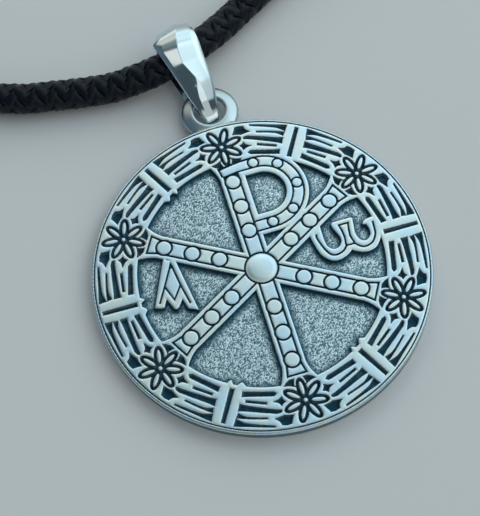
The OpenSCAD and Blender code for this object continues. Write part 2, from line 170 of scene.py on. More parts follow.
# Cord's route: x, y, lift above the surface
CORD_ROUTE = (
    (-8, 182, 0.8), (-17, 181, 0.4), (-33, 177, 0), (-51, 167, 0), (-67, 151, 0), (-77, 130, 0),
    (-81, 106, 0), (-78, 83, 0), (-68, 61, 0), (-52, 43, 0), (-33, 30.5, 0), (-18.5, 24.1, 0),
    (-13.5, 22.75, 0), (-8.6, 21.95, 0), (-5.8, 21.9, 0.3), (-3.3, 22.1, 0.6), (-0.8, 23, 0.6),
    (1.6, 23.9, 0.6), (4.2, 25.45, 0.2), (7.2, 27.4, 0), (13.2, 30.8, 0), (22, 34.5, 0),
    (36, 39, 0), (52, 48, 0), (66, 62, 0), (77, 82, 0), (81, 106, 0), (78, 130, 0), (68, 151, 0),
    (52, 167, 0), (33, 177, 0), (17, 181, 0.4), (8, 182, 0.8),
)
ROUTE_STEP = 0.5        # spacing of the smooth route's points
BRAID_STEP = 0.33       # spacing of the braid's rings
HEADING_REACH = 2       # rings ahead and behind that give the cord's heading
STRANDS_EACH_WAY = 4
STRAND_SIDES = 8
STRAND_T = 0.44
STRAND_MID_R = 1.18
WEAVE = 0.09            # how far a strand goes in and out as it crosses the others
SQUARED = 0.55          # power that squares a strand's round section off

# Clasp: a barrel from its ends inwards, as (distance from the end, radius), and its waist
CLASP_Y = 182.0
CLASP_R = 2.3
CLASP_L = 16.0
CLASP_END = ((0.0, 0.0), (0.0, 1.7), (0.15, 2.0), (0.4, 2.15), (1.2, 2.15), (1.4, 1.95), (1.6, 2.15),
             (2.0, CLASP_R))
WAIST_HALF_W = 0.2
WAIST_R = 2.18
CLASP_STEPS = 48

# Camera
CAMERA_AT = (-10.51, -41.70, 101.17)
CAMERA_AZIMUTH = math.radians(-11.74)
CAMERA_ELEVATION = math.radians(66.12)
CAMERA_ROLL = math.radians(-5.30)
LENS = 92.86
SENSOR_W = 36
NEAREST = 5             # what is nearer to the camera isn't drawn


def smoothstep(x, low, high):
    """0 below low and 1 above high, with a soft step between."""
    t = min(1.0, max(0.0, (x - low) / (high - low)))
    return t * t * (3 - 2 * t)


def fall(away, reach):
    """1 on a line, and 0 from that reach on."""
    return max(0, 1 - away / reach)


def catmull(a, b, c, d, t):
    """Point on the smooth curve from b to c, between its neighbours a and d."""
    return 0.5 * (2 * b + (c - a) * t + (2 * a - 5 * b + 4 * c - d) * t * t
                  + (3 * b - a - 3 * c + d) * t * t * t)


def table_value(rows, x):
    """Straight-line reading of a short table of (place, value) rows."""
    if x <= rows[0][0]:
        return rows[0][1]
    for (x0, y0), (x1, y1) in zip(rows, rows[1:]):
        if x <= x1:
            return y0 + (y1 - y0) * (x - x0) / (x1 - x0)
    return rows[-1][1]


def blend(a, share_a, b, share_b):
    """Two colours added up by their shares."""
    return [share_a * x + share_b * y for x, y in zip(a, b)]


def toned(color, factors):
    """A colour with its red, green and blue each scaled."""
    return [c * f for c, f in zip(color, factors)] + [1]


def add_piece(name, bm, material):
    """Turns a bmesh in millimetres into a smooth object that rides on the pendant."""
    bmesh.ops.transform(bm, matrix=Matrix.Scale(MM, 4), verts=bm.verts)
    mesh = bpy.data.meshes.new(name)
    bm.to_mesh(mesh)
    bm.free()
    mesh.polygons.foreach_set("use_smooth", [True] * len(mesh.polygons))
    mesh.materials.append(material)
    piece = bpy.data.objects.new(name, mesh)
    bpy.context.scene.collection.objects.link(piece)
    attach(piece, ROOT)
    return piece


def turned(outline, closed, axis, steps):
    """An outline spun once round an axis, as a bmesh with its faces outwards."""
    bm = bmesh.new()
    line = [bm.verts.new(spot) for spot in outline]
    for a, b in zip(line, line[1:] + line[:1] if closed else line[1:]):
        bm.edges.new((a, b))
    bmesh.ops.spin(bm, geom=list(bm.verts) + list(bm.edges), cent=(0, 0, 0), axis=axis,
                   angle=2 * math.pi, steps=steps, use_merge=True)
    bmesh.ops.remove_doubles(bm, verts=bm.verts, dist=TURNED_MERGE)
    bmesh.ops.recalc_face_normals(bm, faces=bm.faces)
    return bm


# Node helpers
def new_group(name, inputs, outputs):
    """A shader node group with its named sockets, and its own input and output node."""
    group = bpy.data.node_groups.new(name, "ShaderNodeTree")
    for label, kind, value in inputs:
        socket = group.interface.new_socket(label, in_out="INPUT", socket_type=kind)
        socket.default_value = value
    for label, kind in outputs:
        group.interface.new_socket(label, in_out="OUTPUT", socket_type=kind)
    return group, group.nodes.new("NodeGroupInput"), group.nodes.new("NodeGroupOutput")


def put(tree, kind, links=(), **values):
    """A node of a tree with its settings, and its inputs set or linked by (input, source)."""
    node = tree.nodes.new(kind)
    for key, value in values.items():
        setattr(node, key, value)
    for key, source in links:
        if isinstance(source, bpy.types.NodeSocket):
            tree.links.new(source, node.inputs[key])
        else:
            node.inputs[key].default_value = source
    return node


def math_node(tree, operation, a, b, clamp=False):
    """Two values added, subtracted or multiplied."""
    return put(tree, "ShaderNodeMath", [(0, a), (1, b)], operation=operation,
               use_clamp=clamp).outputs[0]


def ramp(tree, value, low, high):
    """0 below low and 1 above high, with a soft step between."""
    return put(tree, "ShaderNodeMapRange", [("Value", value), ("From Min", low), ("From Max", high)],
               interpolation_type="SMOOTHSTEP").outputs["Result"]


def between(tree, mask, at_none, at_full):
    """A value that goes with a mask from one number to another."""
    return put(tree, "ShaderNodeMapRange", [("Value", mask), ("To Min", at_none),
               ("To Max", at_full)]).outputs["Result"]


def mix_color(tree, factor, a, b, blend_type="MIX"):
    """Colour b over colour a by a factor. The Mix node's colours are its inputs 6 and 7."""
    return put(tree, "ShaderNodeMix", [(0, factor), (6, a), (7, b)], data_type="RGBA",
               blend_type=blend_type).outputs[2]


def noise_at(tree, place, scale, detail, rough):
    """Noise over some coordinates."""
    return put(tree, "ShaderNodeTexNoise", [("Vector", place), ("Scale", scale), ("Detail", detail),
               ("Roughness", rough)]).outputs["Fac"]


def object_noise(tree, scale, detail, rough):
    """Noise over the object's own coordinates, with its scale in waves per metre."""
    place = tree.nodes.new("ShaderNodeTexCoord")
    return noise_at(tree, place.outputs["Object"], scale, detail, rough)


def shader_material(name):
    """A new material with its node tree and its shader."""
    material = bpy.data.materials.new(name)
    material.use_nodes = True
    tree = material.node_tree
    return material, tree, tree.nodes["Principled BSDF"]


# Looks. Noises over the object are (waves per metre, detail, roughness), bands are where a soft
# step starts and ends, and bumps are (strength, depth in millimetres).
NOISE_MIDDLE = 0.5
DEPOSIT_BLOTCH = (2600.0, 3.0, 0.6)
DEPOSIT_UNEVENNESS = 0.25
DEPOSIT_BAND = (0.1, 0.7)
DEPOSIT_WEAR = (1500.0, 3.0, 0.6)
DEPOSIT_WEAR_BAND = (0.45, 0.75)
WORN_DEPOSIT = 0.85
WORN_SILVER = 0.07

SCRATCH_TURN = 0.6                          # radians round the upward axis
SCRATCH_SCALE = (9000.0, 700.0, 3000.0)     # waves per metre along each axis
SCRATCHES = (1.0, 2.0, 0.5)                 # over coordinates scaled so
SCRATCH_SHARE = 0.5
CAST_PITS = (9000.0, 2.0, 0.7)
HAND_RUB = (700.0, 2.0, 0.5)

SILVER_HUE = (480.0, 1.0, 0.5)
SILVER_HUE_BAND = (0.4, 0.6)
WARM = (1.05, 1.00, 0.93)
COOL = (0.93, 0.98, 1.03)
CAST_METAL = (0.7, 1.0)                     # from the deposit to the bare silver, as the next
CAST_ROUGH = (0.55, 0.3)
CAST_BUMP = (0.25, 0.02)

# Rim's wall: the radii and the heights between which its shade sets in, millimetres
WALL_OUTSIDE = (RIM_R - 0.06, RIM_R - 0.02)
WALL_BELOW = (1.45, 1.25)
WALL_SHADE = 0.8

GRAIN_SPECKS = (10000.0, 2.0, 0.6)
GRAIN_SPECK_SHARE = 1.3
GRAIN_BAND = (0.38, 0.66)
FIELD_BLOTCH = (900.0, 2.0, 0.5)
FIELD_BLOTCH_LIFT = 0.5
GROUND_SILVER = 0.16
GROUND_DEPOSIT = 0.84
# Reach from a wall, millimetres, over which the field turns to the deposit colour: patina at the wall's
# foot and painted shade of the wall
WALL_FOOT_DEPOSIT_AND_SHADE_BAND = (-0.02, 0.8)
FIELD_ROUGH = 0.42
FIELD_BUMP = (0.3, 0.03)

UNRUBBED_TONE = 0.9
RUBBED_ROUGH = 0.08
POLISH_BUMP = (0.08, 0.01)
POLISHED_ROUGH = 0.07
SATIN_ROUGH = 0.22
SATIN_TONE = 0.78

FIBRE_STRETCH = (9.0, 1.5, 1.0)             # waves round a strand, and per millimetre along it
FIBRE = (1.0, 3.0, 0.6)                     # over coordinates scaled so
FIBRE_LIGHT = 2.6
FIBRE_ROUGH = 0.33
FIBRE_GLOSS = 0.23
FIBRE_BUMP = (0.5, 0.05)


def patina_group():
    """Dark deposit where the painted mask is low, with a loose, uneven edge."""
    group, given, out = new_group("Patina", [
        ("Low", "NodeSocketFloat", DEPOSIT_BAND[0]), ("High", "NodeSocketFloat", DEPOSIT_BAND[1]),
        ("Unevenness", "NodeSocketFloat", 0.0)], [("Clean", "NodeSocketFloat")])
    painted = put(group, "ShaderNodeAttribute", attribute_name="clean").outputs["Fac"]
    blotch = math_node(group, "SUBTRACT", object_noise(group, *DEPOSIT_BLOTCH), NOISE_MIDDLE)
    shift = math_node(group, "MULTIPLY", blotch, given.outputs["Unevenness"])
    mask = ramp(group, math_node(group, "ADD", painted, shift), given.outputs["Low"],
                given.outputs["High"])
    group.links.new(mask, out.inputs["Clean"])
    return group


def handling_group():
    """Fine scratches and the soft unevenness of a hand-polished casting, as a height."""
    group, given, out = new_group("Handling marks", [("Grain", "NodeSocketFloat", 1.0)],
                                  [("Height", "NodeSocketFloat"), ("Rub", "NodeSocketFloat")])
    place = group.nodes.new("ShaderNodeTexCoord")
    stretch = put(group, "ShaderNodeMapping", [("Vector", place.outputs["Object"]),
                  ("Rotation", (0.0, 0.0, SCRATCH_TURN)), ("Scale", SCRATCH_SCALE)])
    scratch = noise_at(group, stretch.outputs[0], *SCRATCHES)
    pits = object_noise(group, *CAST_PITS)
    rub = object_noise(group, *HAND_RUB)
    both = math_node(group, "ADD", math_node(group, "MULTIPLY", scratch, SCRATCH_SHARE),
                     math_node(group, "MULTIPLY", pits, given.outputs["Grain"]))
    group.links.new(both, out.inputs["Height"])
    group.links.new(rub, out.inputs["Rub"])


def handling_marks(tree):
    """The handling marks in a material, as the outputs of their group."""
    group = bpy.data.node_groups["Handling marks"]
    return put(tree, "ShaderNodeGroup", node_tree=group).outputs


def add_bump(tree, shader, height, strength, depth):
    """Bumps a shader by a height, with the depth in millimetres."""
    bump = put(tree, "ShaderNodeBump", [("Strength", strength), ("Distance", depth * MM),
               ("Height", height)])
    tree.links.new(bump.outputs["Normal"], shader.inputs["Normal"])


def aged(tree, color, deposit):
    """The silver from warm to cool and the deposit from dark to worn, each in slow patches."""
    hue = ramp(tree, object_noise(tree, *SILVER_HUE), *SILVER_HUE_BAND)
    wear = ramp(tree, object_noise(tree, *DEPOSIT_WEAR), *DEPOSIT_WEAR_BAND)
    worn = blend(deposit, WORN_DEPOSIT, color, WORN_SILVER)
    silver = mix_color(tree, hue, toned(color, WARM), toned(color, COOL))
    return silver, mix_color(tree, wear, deposit, worn)


def rim_wall_painted_shade(tree):
    """1 everywhere but on the rim's wall, where it falls off below the upper edge as painted shade."""
    place = tree.nodes.new("ShaderNodeTexCoord")
    part = put(tree, "ShaderNodeSeparateXYZ", [(0, place.outputs["Object"])]).outputs
    flat = put(tree, "ShaderNodeCombineXYZ", [(0, part[0]), (1, part[1])])
    reach = put(tree, "ShaderNodeVectorMath", [(0, flat.outputs[0])], operation="LENGTH")
    outside = ramp(tree, reach.outputs["Value"], *(r * MM for r in WALL_OUTSIDE))
    below = ramp(tree, part[2], *(z * MM for z in WALL_BELOW))
    shade = math_node(tree, "MULTIPLY", math_node(tree, "MULTIPLY", outside, below), WALL_SHADE)
    return math_node(tree, "SUBTRACT", 1.0, shade)


def cast_silver(color, deposit):
    """Rubbed high places over a blue-black deposit, with painted shade down the rim's wall."""
    material, tree, shader = shader_material("Patinated cast silver")
    patina = put(tree, "ShaderNodeGroup", node_tree=patina_group())
    patina.inputs["Unevenness"].default_value = DEPOSIT_UNEVENNESS
    # The patina's clean mask times the rim wall's painted shade, which puts the deposit colour on the
    # wall as shade
    clean = math_node(tree, "MULTIPLY", patina.outputs["Clean"], rim_wall_painted_shade(tree))
    silver, dark = aged(tree, color, deposit)
    tree.links.new(mix_color(tree, clean, dark, silver), shader.inputs["Base Color"])
    tree.links.new(between(tree, clean, *CAST_METAL), shader.inputs["Metallic"])
    tree.links.new(between(tree, clean, *CAST_ROUGH), shader.inputs["Roughness"])
    add_bump(tree, shader, handling_marks(tree)["Height"], *CAST_BUMP)
    return material


def grain_silver(color, deposit):
    """Stippled field: bright grains with dark deposit between them, and the deposit colour beside the
    walls, partly patina at their foot and partly painted shade.
    """
    material, tree, shader = shader_material("Stippled silver field")
    mark = put(tree, "ShaderNodeAttribute", attribute_name="grain").outputs["Fac"]
    speck = math_node(tree, "SUBTRACT", object_noise(tree, *GRAIN_SPECKS), NOISE_MIDDLE)
    mark = math_node(tree, "ADD", mark, math_node(tree, "MULTIPLY", speck, GRAIN_SPECK_SHARE))
    blotch = math_node(tree, "ADD", object_noise(tree, *FIELD_BLOTCH), FIELD_BLOTCH_LIFT)
    even = math_node(tree, "MULTIPLY", ramp(tree, mark, *GRAIN_BAND), blotch, clamp=True)
    tone = mix_color(tree, even, blend(color, GROUND_SILVER, deposit, GROUND_DEPOSIT), color)
    # Deposit colour at the walls' foot, partly patina and partly painted shade
    wall = put(tree, "ShaderNodeAttribute", attribute_name="beside_wall").outputs["Fac"]
    foot_deposit_and_shade = ramp(tree, wall, *WALL_FOOT_DEPOSIT_AND_SHADE_BAND)
    tree.links.new(mix_color(tree, foot_deposit_and_shade, deposit, tone), shader.inputs["Base Color"])
    shader.inputs["Metallic"].default_value = 1.0
    shader.inputs["Roughness"].default_value = FIELD_ROUGH
    add_bump(tree, shader, handling_marks(tree)["Height"], *FIELD_BUMP)
    return material


def polished_silver(name, color, rough):
    """Silver with a hand polish, a little darker where it isn't rubbed and duller where it is."""
    material, tree, shader = shader_material(name)
    marks = handling_marks(tree)
    tone = mix_color(tree, marks["Rub"], toned(color, [UNRUBBED_TONE] * 3), color)
    tree.links.new(tone, shader.inputs["Base Color"])
    shader.inputs["Metallic"].default_value = 1.0
    tree.links.new(between(tree, marks["Rub"], rough, rough + RUBBED_ROUGH), shader.inputs["Roughness"])
    add_bump(tree, shader, marks["Height"], *POLISH_BUMP)


def braid_fibre(color):
    """Waxed black fibre, with thread lines along each strand."""
    material, tree, shader = shader_material("Waxed black braid")
    place = put(tree, "ShaderNodeUVMap", uv_map="along")
    stretch = put(tree, "ShaderNodeMapping", [("Vector", place.outputs["UV"]),
                  ("Scale", FIBRE_STRETCH)])
    fibre = noise_at(tree, stretch.outputs[0], *FIBRE)
    light = toned(color, [FIBRE_LIGHT] * 3)
    tree.links.new(mix_color(tree, fibre, color, light), shader.inputs["Base Color"])
    shader.inputs["Roughness"].default_value = FIBRE_ROUGH
    shader.inputs["Specular IOR Level"].default_value = FIBRE_GLOSS
    add_bump(tree, shader, fibre, *FIBRE_BUMP)
    return material


class PendantSilver(bpy.types.PropertyGroup):
    bright: bpy.props.FloatVectorProperty(
        name="Polished silver", description="Colour of the bail, the hanging ring and the clasp",
        subtype="COLOR", size=4, min=0, max=1, default=(0.76, 0.85, 0.87, 1))
    cast: bpy.props.FloatVectorProperty(
        name="Casting", description="Colour of the rubbed high places of the casting",
        subtype="COLOR", size=4, min=0, max=1, default=(0.765, 0.88, 0.92, 1))
    deposit: bpy.props.FloatVectorProperty(
        name="Deposit", description="Colour of the dark deposit in the hollows", subtype="COLOR",
        size=4, min=0, max=1, default=(0.004, 0.060, 0.098, 1))
    field: bpy.props.FloatVectorProperty(
        name="Field grains", description="Colour of the grains in the field", subtype="COLOR",
        size=4, min=0, max=1, default=(0.80, 0.95, 0.99, 1))
    edge_round: bpy.props.FloatProperty(
        name="Edge rounding", description="Width of the rounding on the relief's upper edges",
        default=0.12 * MM, min=0.05 * MM, max=0.3 * MM, unit="LENGTH", precision=5)
    grain: bpy.props.FloatProperty(
        name="Grain", description="Distance between the points of the field's grains",
        default=0.085 * MM, min=0.05 * MM, max=0.5 * MM, unit="LENGTH", precision=5)


class PendantCord(bpy.types.PropertyGroup):
    strand_w: bpy.props.FloatProperty(
        name="Strand width", description="Width of one strand of the braid", default=1.28 * MM,
        min=0.5 * MM, max=2 * MM, unit="LENGTH", precision=5)
    turn: bpy.props.FloatProperty(
        name="Turn", description="Length of the cord in which a strand goes round once",
        default=7.4 * MM, min=4 * MM, max=20 * MM, unit="LENGTH", precision=5)
    black: bpy.props.FloatVectorProperty(
        name="Fibre", description="Colour of the cord", subtype="COLOR", size=4, min=0, max=1,
        default=(0.003, 0.005, 0.0085, 1))


# Outlines of the casting
def relief_copy():
    """The casting's solid as a merged bmesh in millimetres."""
    bm = bmesh.new()
    bm.from_mesh(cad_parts["medallion"].data)
    bmesh.ops.transform(bm, matrix=Matrix.Scale(1 / MM, 4), verts=bm.verts)
    bmesh.ops.remove_doubles(bm, verts=bm.verts, dist=RELIEF_MERGE)
    return bm


def on_level(face, z):
    """The face lies flat at that height and looks up."""
    return face.normal.z > FLAT_NORMAL and all(abs(v.co.z - z) < ON_LEVEL for v in face.verts)


def edges_of(faces):
    """The edges of some faces, each once and always in the same order."""
    return list(dict.fromkeys(e for f in faces for e in f.edges))


def edge_points(edge, step, whole):
    """Points along an edge, its ends included: no wider apart than a step where whole is math.ceil,
    and no closer where it is math.floor."""
    a, b = (v.co for v in edge.verts)
    parts = max(1, whole((b - a).length / step))
    return [a.lerp(b, i / parts) for i in range(parts + 1)]


def distance_tree(points):
    """A tree that finds the nearest of some points and how far it is away."""
    tree = KDTree(len(points))
    for i, spot in enumerate(points):
        tree.insert(spot, i)
    tree.balance()
    return tree


def outline_tree(faces, lift=None):
    """Distances to the outline of a set of faces. With a lift, the outline lies at that height."""
    inside = set(faces)
    points = []
    for edge in edges_of(faces):
        if sum(f in inside for f in edge.link_faces) == 1:
            points.extend(edge_points(edge, OUTLINE_STEP, math.ceil))
    if lift is not None:
        for spot in points:
            spot.z = lift
    return distance_tree(points)


def refine(bm, level, near, fine, coarse):
    """Splits what lies flat at a level into even triangles, small beside its outlines."""
    for _ in range(REFINE_ROUNDS):
        long_ones = []
        for edge in edges_of([f for f in bm.faces if on_level(f, level)]):
            length = edge.calc_length()
            if length <= fine:
                continue
            away = near.find((edge.verts[0].co + edge.verts[1].co) / 2)[2]
            if length > (fine if away < FINE_BAND * fine else coarse):
                long_ones.append(edge)
        if not long_ones:
            return
        bmesh.ops.subdivide_edges(bm, edges=long_ones, cuts=1)
        bmesh.ops.triangulate(bm, faces=[f for f in bm.faces if len(f.verts) > 3])
        top = [f for f in bm.faces if on_level(f, level)]
        inside = set(top)
        inner = [e for e in edges_of(top)
                 if len(e.link_faces) == 2 and all(f in inside for f in e.link_faces)]
        bmesh.ops.beautify_fill(bm, faces=top, edges=inner)
        bm.normal_update()


# Medallion
def bare_share(spot):
    """How clean of deposit a point of the casting is, before its outlines are looked at."""
    if spot.z < BACK_Z or math.hypot(spot.x, spot.y) > RIM_R - OUTER_BAND:
        return OUTER_CLEAN
    return table_value(CLEAN_BY_HEIGHT, spot.z)


def wear_top(v, clean, near, cuts, shoulder):
    """Rounds the upper face down to its outlines, and leaves deposit there and beside the cuts."""
    away = near.find(v.co)[2]
    beside = cuts.find(v.co)[2]
    spread = LINE_DEPOSIT_W if math.hypot(v.co.x, v.co.y) < WREATH_R else FLUTE_DEPOSIT_W
    v.co.z -= EDGE_DROP * fall(away, shoulder) ** 2 + CROWN_DROP * fall(away, CROWN_W) ** 2
    v[clean] = 1 - max(EDGE_DEPOSIT * fall(away, EDGE_DEPOSIT_W), CUT_DEPOSIT * fall(beside, spread))


def hollow_floor(v, clean, near):
    """Lifts the floor of a cut towards its walls, where some silver shows."""
    away = near.find(v.co)[2]
    v.co.z += FLOOR_RISE * fall(away, FLOOR_RISE_W) ** 2
    v[clean] = FLOOR_CLEAN * fall(away, FLOOR_CLEAN_W)


def flatten_boss(bm, clean):
    """Lowers the boss to a shallow, bright dome."""
    for v in bm.verts:
        reach = math.hypot(v.co.x, v.co.y)
        if reach < BOSS_R and v.co.z > TOP_Z - BOSS_BELOW_TOP:
            sink = BOSS_SINK * smoothstep(reach, BOSS_SHOULDER * BOSS_R, BOSS_R)
            v.co.z = TOP_Z + BOSS_DOME * (v.co.z - TOP_Z) - sink
            v[clean] = 1.0


def thin_ring(bm):
    """Draws the solid's hanging ring in, so that the turned one covers it."""
    middle = Vector((RING_X, RING_Y, RING_Z))
    for v in bm.verts:
        if math.hypot(v.co.x, v.co.y) > RIM_R + ON_LEVEL:
            out = v.co - middle
            tube = middle + RING_MID_R * Vector((out.x, out.y, 0)).normalized()
            v.co = tube + RING_CORE * (v.co - tube)


class PENDANT_OT_medallion(bpy.types.Operator):
    """Softens the cast relief and gives it its worn, darkened silver"""

    bl_idname = "pendant.medallion"
    bl_label = "Medallion"

    def execute(self, context):
        silver = context.scene.pendant_silver
        material = cast_silver(silver.cast, silver.deposit)
        bm = relief_copy()
        bm.normal_update()
        clean = bm.verts.layers.float.new("clean")
        for v in bm.verts:
            v[clean] = bare_share(v.co)
        floors = [f for f in bm.faces if any(on_level(f, z) for z in (LINE_Z, FLUTE_Z, PIT_Z))]
        cuts = outline_tree(floors, TOP_Z)
        for level, fine, coarse in RELIEF_LEVELS:
            near = outline_tree([f for f in bm.faces if on_level(f, level)])
            refine(bm, level, near, fine, coarse)
            for v in bm.verts:
                if abs(v.co.z - level) > ON_LEVEL:
                    continue
                if level == TOP_Z:
                    wear_top(v, clean, near, cuts, silver.edge_round / MM)
                else:
                    hollow_floor(v, clean, near)
            bm.normal_update()
        flatten_boss(bm, clean)
        thin_ring(bm)
        bm.normal_update()
        for edge in bm.edges:
            edge.smooth = len(edge.link_faces) == 2 and edge.calc_face_angle(0) < SOFT_ANGLE
        piece = add_piece("medallion_relief", bm, material)
        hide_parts("medallion")
        return {"FINISHED"}


def over_field(tree, spot):
    """The casting's upper surface is the field straight below that spot."""
    hit = tree.ray_cast(Vector((spot.x, spot.y, LOOK_DOWN_Z)), Vector((0, 0, -1)))[0]
    return hit is not None and abs(hit.z - FIELD_Z) < FIELD_SLACK


def field_grid(solid, step):
    """A fine grid of squares that covers the field inside the wreath."""
    tree = BVHTree.FromBMesh(solid)
    count = int(2 * WREATH_R / step)
    bm = bmesh.new()
    bmesh.ops.create_grid(bm, x_segments=count, y_segments=count, size=WREATH_R)
    beyond = [f for f in bm.faces if not any(over_field(tree, v.co) for v in f.verts)]
    bmesh.ops.delete(bm, geom=beyond, context="FACES")
    return bm


def wall_tree(solid):
    """Distances to the walls that stand round the field."""
    points = []
    for edge in solid.edges:
        level = all(abs(v.co.z - FIELD_Z) < FIELD_SLACK for v in edge.verts)
        if level and edge.calc_face_angle(0) > WALL_ANGLE:
            points.extend(edge_points(edge, WALL_STEP, math.floor))
    return distance_tree(points)


class PENDANT_OT_field(bpy.types.Operator):
    """Lays the stippled ground between the spokes"""

    bl_idname = "pendant.field"
    bl_label = "Stippled field"

    def execute(self, context):
        silver = context.scene.pendant_silver
        material = grain_silver(silver.field, silver.deposit)
        solid = relief_copy()
        bm = field_grid(solid, silver.grain / MM)
        near = wall_tree(solid)
        solid.free()
        grain = bm.verts.layers.float.new("grain")
        beside = bm.verts.layers.float.new("beside_wall")
        for v in bm.verts:
            away = near.find(Vector((v.co.x, v.co.y, FIELD_Z)))[2]
            lump = sum(share * noise.noise(Vector((v.co.x * scale, v.co.y * scale, cut)))
                       for scale, cut, share in LUMPS)
            v.co.z = FIELD_Z + FIELD_LIFT + LUMP_H * lump + WALL_RISE * fall(away, WALL_RISE_W) ** 2
            v[grain] = GRAIN_MIDDLE + GRAIN_SWING * lump
            v[beside] = away
        add_piece("field_grain", bm, material)
        return {"FINISHED"}


class PENDANT_OT_ring(bpy.types.Operator):
    """Turns the hanging ring soldered to the rim"""

    bl_idname = "pendant.ring"
    bl_label = "Hanging ring"

    def execute(self, context):
        n = len(RING_SECTION)
        section = []
        for i in range(n):
            a, b, c, d = (Vector(RING_SECTION[(i + k) % n]) for k in (-1, 0, 1, 2))
            section += [b, catmull(a, b, c, d, 0.5)]
        bm = turned([(RING_MID_R + out, 0, up) for out, up in section], True, (0, 0, 1), RING_STEPS)
        bmesh.ops.translate(bm, vec=(RING_X, RING_Y, RING_Z), verts=bm.verts)
        add_piece("hanging_ring", bm, bpy.data.materials["Satin silver"])
        return {"FINISHED"}


# Bail
def round_point(middle_u, middle_z, radius, angle):
    """Point (u, z) of a round stretch of the strap."""
    return middle_u + radius * math.cos(angle), middle_z + radius * math.sin(angle)


def strap_path(count):
    """Even stations round the strap's closed path: (u, z, outward angle, on the front, bow). It runs
    from below the tip round it, up the front leaf, round the fold and back along the surface."""
    leaf_z = FLOOR_GAP + STRAP_T / 2
    fold_r = CORD_R + FOLD_GAP + STRAP_T / 2
    fold_z = leaf_z + fold_r
    tip_r = STRAP_T / 2 + TIP_GAP
    tip_z = leaf_z + tip_r
    below = 1.5 * math.pi
    start = math.pi / 2 + LEAF_SLOPE
    apex_u = FOLD_U + fold_r * math.cos(start) - fold_r * (1 + math.sin(start)) / math.tan(LEAF_SLOPE)
    tip_u = apex_u + tip_r / math.tan(LEAF_SLOPE / 2)
    tip_end = round_point(tip_u, tip_z, tip_r, start)
    fold_begin = round_point(FOLD_U, fold_z, fold_r, start)
    tip = tip_r * (below - start)
    front = math.dist(tip_end, fold_begin)
    fold = fold_r * (start + math.pi / 2)
    total = tip + front + fold + FOLD_U - tip_u
    rows = []
    for i in range(count):
        s = total * i / count
        if s < tip:
            a = below - s / tip_r
            rows.append((*round_point(tip_u, tip_z, tip_r, a), a, True, 0))
        elif s < tip + front:
            t = (s - tip) / front
            u, z = (a + (b - a) * t for a, b in zip(tip_end, fold_begin))
            rows.append((u, z, start, True, math.sin(math.pi * t) * smoothstep(t, 0.0, ARCH_START)))
        elif s < tip + front + fold:
            s -= tip + front
            a = start - s / fold_r
            bow = -math.pi * s / front * math.exp(-s / ARCH_FADE)
            rows.append((*round_point(FOLD_U, fold_z, fold_r, a), a, a > 0, bow))
        else:
            rows.append((FOLD_U - (s - tip - front - fold), leaf_z, -math.pi / 2, False, 0))
    return rows


def strap_profile(left, right, mid, flat, ridge):
    """Cross-section of the strap: (across, outwards), rounded at the edges, with a ridge at mid
    whose top is flat over a width to its left."""
    t = STRAP_T / 2
    crest = mid - flat
    inner_left = -left + STRAP_EDGE
    inner_right = right - STRAP_EDGE
    points = [(inner_left + (crest - inner_left) * f, t + ridge * f) for f in FLANK_STEPS]
    points += [(x, t + ridge) for x in (crest, crest + CREST_SOFT * flat, mid - CREST_SOFT * flat, mid)]
    points += [(inner_right - (inner_right - mid) * f, t + ridge * f) for f in reversed(FLANK_STEPS)]
    points += [(right - EDGE_TUCK, t * EDGE_SHARE), (right, 0), (right - EDGE_TUCK, -t * EDGE_SHARE)]
    points += [(inner_right - (inner_right - inner_left) * i / BACK_PARTS, -t)
               for i in range(BACK_PARTS + 1)]
    points += [(-left + EDGE_TUCK, -t * EDGE_SHARE), (-left, 0), (-left + EDGE_TUCK, t * EDGE_SHARE)]
    return points


def ridge_height(u, facing, tip_u):
    """Height of the ridge where the strap faces so many degrees outwards: none at tip or fold."""
    if facing > RIDGE_END:
        return 0.0
    return RIDGE_H * smoothstep(facing, *RIDGE_FADE) * smoothstep(u, tip_u, tip_u + RIDGE_RUN_IN)


class PENDANT_OT_bail(bpy.types.Operator):
    """Folds the polished strap through the ring and over the cord"""

    bl_idname = "pendant.bail"
    bl_label = "Bail"

    def execute(self, context):
        stations = strap_path(STRAP_STATIONS)
        across = len(strap_profile(1, 1, 0, 0, 0))
        bm = bmesh.new()
        bmesh.ops.create_grid(bm, x_segments=across, y_segments=len(stations), size=1)
        place = Matrix.Translation((BAIL_X, BAIL_Y, 0)) @ Matrix.Rotation(BAIL_LEAN, 4, "Z")
        tip_u = stations[0][0]
        # The grid's rows become the stations and its columns the profile's points, and both close up
        for v in bm.verts:
            i = round((v.co.x + 1) / 2 * across) % across
            j = round((v.co.y + 1) / 2 * len(stations)) % len(stations)
            u, z, angle, front, bow = stations[j]
            half = STRAP_HALF_W * table_value(FRONT_WIDTH if front else BACK_WIDTH, u)
            left = half * table_value(LEFT_TRIM, u)
            right = half + (table_value(RIGHT_SWELL, u) if front else 0)
            ridge = ridge_height(u, math.degrees(angle), tip_u)
            profile = strap_profile(left, right, table_value(RIDGE_BEND, u),
                                    table_value(RIDGE_FLAT, u), ridge)
            x, n = profile[i]
            n += ARCH * bow
            v.co = place @ Vector((x, u + n * math.cos(angle), z + n * math.sin(angle)))
        bmesh.ops.remove_doubles(bm, verts=bm.verts, dist=STRAP_MERGE)
        bmesh.ops.recalc_face_normals(bm, faces=bm.faces)
        piece = add_piece("bail_strap", bm, bpy.data.materials["Polished silver"])
        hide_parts("bail")
        return {"FINISHED"}


# Cord
def smooth_route():
    """The cord's middle line as a smooth curve through its route, lifted by its radius."""
    route = [Vector(p) for p in CORD_ROUTE]
    last = len(route) - 1
    line = []
    for i in range(last):
        a, b, c, d = route[max(i - 1, 0)], route[i], route[i + 1], route[min(i + 2, last)]
        parts = max(2, int((c - b).length / ROUTE_STEP))
        line.extend(catmull(a, b, c, d, j / parts) for j in range(parts))
    line.append(route[-1])
    return [Vector((p.x, p.y, max(0.0, p.z) + CORD_R)) for p in line]


